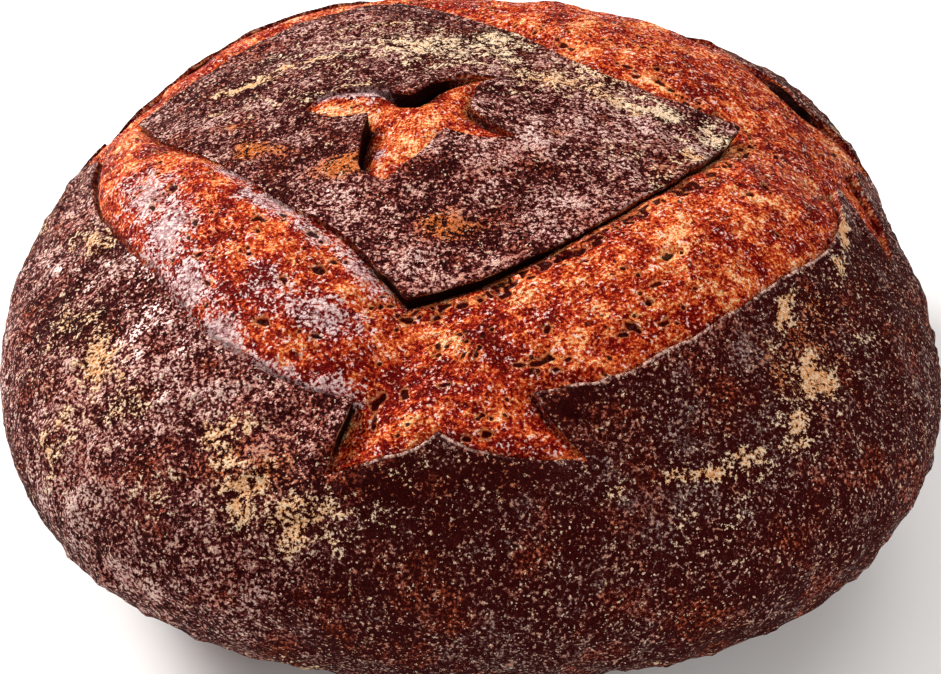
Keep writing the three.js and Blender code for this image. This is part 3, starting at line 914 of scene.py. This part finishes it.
# The crumb: a deep red glaze over burst bubbles, golden on the threads between them, and
# pale on its dry skin, which a painted sheen lightens further.
along_field = bread.field("along")
across_field = bread.field("across")
thread_sockets = {"X": across_field * MM, "Y": along_field * (0.3 * MM), "Z": 0.0}
stretched = bread.node("ShaderNodeCombineXYZ", {}, thread_sockets)
threads = bread.noise(0.9, 3, 0.6, stretched)
drift_sockets = {"Vector": bread.place, "Scale": 1 / (4 * MM), "Detail": 2.0}
drift = bread.node("ShaderNodeTexNoise", {}, drift_sockets, "Color")
warp_sockets = {0: drift, 1: (5 * MM, 5 * MM, 5 * MM), 2: bread.place}
warped = bread.node("ShaderNodeVectorMath", {"operation": "MULTIPLY_ADD"}, warp_sockets)
bubbles = bread.cells(warped, 3.2, "DISTANCE_TO_EDGE")
froth = bread.cells(warped, 1.5, "DISTANCE_TO_EDGE")
burst = bread.noise(12, 2, 0.5).over(0.46, 0.60)
skin_and_sheen_field = bread.field("skin_and_sheen")
wall = (1 - bubbles.over(0.02, 0.13)) * burst
hollow = bubbles.over(0.15, 0.42) * burst
net = 1 - froth.over(0.0, 0.10)
strong_patch = (patch - 0.5) * 2.0 + (bread.noise(5, 3, 0.6) - 0.5) * 1.2
glow = 0.30 + (fine - 0.5) * 2.3 + (threads - 0.5) * 1.2 + (coarse - 0.5) * 1.1 + strong_patch
glow = glow + wall * (1 - skin_and_sheen_field * 0.7) * 0.26 - hollow * 0.20 + net * 0.10 - char_and_shade * 0.10
glow = glow + cream * 0.21 + bread.field("fibre") * 0.05
crumb_tint = bread.ramp(glow, CRUMB_TINTS)
skin_and_sheen = skin_and_sheen_field + grain * 1.1 + (clump - 0.5) * 1.4
skin_and_sheen_tint = bread.mix(DULL_SKIN, DRY_SKIN_AND_SHEEN, (grain + clump - 0.5).over(-0.3, 0.5))
crumb_tint = bread.mix(crumb_tint, skin_and_sheen_tint, skin_and_sheen.over(0.22, 0.66) * 0.92)
# Painted shade: the holes in the crumb, and small pits among them, are painted near black.
cavity_field = bread.field("cavity") + (fine - 0.5) * 0.9
pin = 1 - bread.cells(warped, 3.4).over(0.12, 0.2)
shaded_hole = 1 - (1 - cavity_field.over(0.46, 0.60)) * (1 - pin * bread.noise(9, 2, 0.5).over(0.50, 0.60))
crumb_tint = bread.mix(crumb_tint, PAINTED_HOLE_SHADE, shaded_hole * 0.95)
lace = cavity_field.over(0.04, 0.2) * (1 - cavity_field.over(0.2, 0.46))
crumb_tint = bread.mix(crumb_tint, HOLE_BRIM, lace * 0.3)
depth_field = bread.field("depth")
gap_field = bread.field("gap")
# Painted shadow: the crumb down in the gap under an overhanging edge is painted near black.
gap_shadow = depth_field.over(0.05, 0.4) * (1 - depth_field.over(1.3, 2.4)) * gap_field
crumb_tint = bread.mix(crumb_tint, PAINTED_GAP_SHADOW, gap_shadow)

# The two together, with the flaking rim of the curled edges between them. Over a deep gap the rim is
# painted in shade.
is_crumb = depth_field.over(0.0, 0.25)
lip = bread.field("rim")
rim = (depth_field + lip * 0.3).over(-0.5, -0.1) * (1 - depth_field.over(0.1, 0.35)) * lip
tint = bread.mix(crust_tint, crumb_tint, is_crumb)
flake = bread.mix(BURNT_FLAKE, PALE_FLAKE, (grain + clump - 0.5).over(-0.35, 0.15))
rim_tint = bread.mix(flake, SHADED_RIM, bread.field("shade"))
frayed = rim * (bread.noise(4.5, 3, 0.6) + lip * 0.10).over(0.46, 0.60)
tint = bread.mix(tint, rim_tint, frayed * 0.9)
bread.feed(bread.surface.inputs["Base Color"], tint)
crust_rough = 0.52 + 0.2 * coarse + 0.2 * floured
crumb_rough = 0.38 + 0.3 * coarse
bread.feed(bread.surface.inputs["Roughness"], crust_rough * (1 - is_crumb) + crumb_rough * is_crumb)
bread.surface.inputs["Specular IOR Level"].default_value = 0.02
bread.surface.inputs["Coat Roughness"].default_value = 0.2
crust_coat = bake_and_painted_light.over(0.65, 1.0) * 0.4 * (1 - floured) * (1 - dark_side * 0.5)
crumb_coat = 0.12 * glow.over(0.5, 0.9) + 0.08 * skin_and_sheen.over(0.3, 0.8)
coat = (crust_coat * (1 - is_crumb) + crumb_coat * (1 - shaded_hole) * is_crumb) * (1 - gap_shadow)
bread.feed(bread.surface.inputs["Coat Weight"], coat)
crust_grain = grain * 0.7 + floured * 0.3 + clump * 4.0
crumb_grain = fine - 0.5 + threads * 0.6 + coarse * 0.8
crumb_grain = crumb_grain + wall * 0.5 - hollow * 0.6 + net * 0.15 - shaded_hole * 0.8
bump_height = crust_grain * (1 - is_crumb) + crumb_grain * is_crumb
bump_sockets = {"Strength": 1.0, "Distance": 1.0 * MM, "Height": bump_height}
bump = bread.node("ShaderNodeBump", {}, bump_sockets, "Normal")
bread.feed(bread.surface.inputs["Normal"], bump)
loaf_mesh.materials.append(bread.material)

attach(loaf, "root")
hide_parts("loaf")
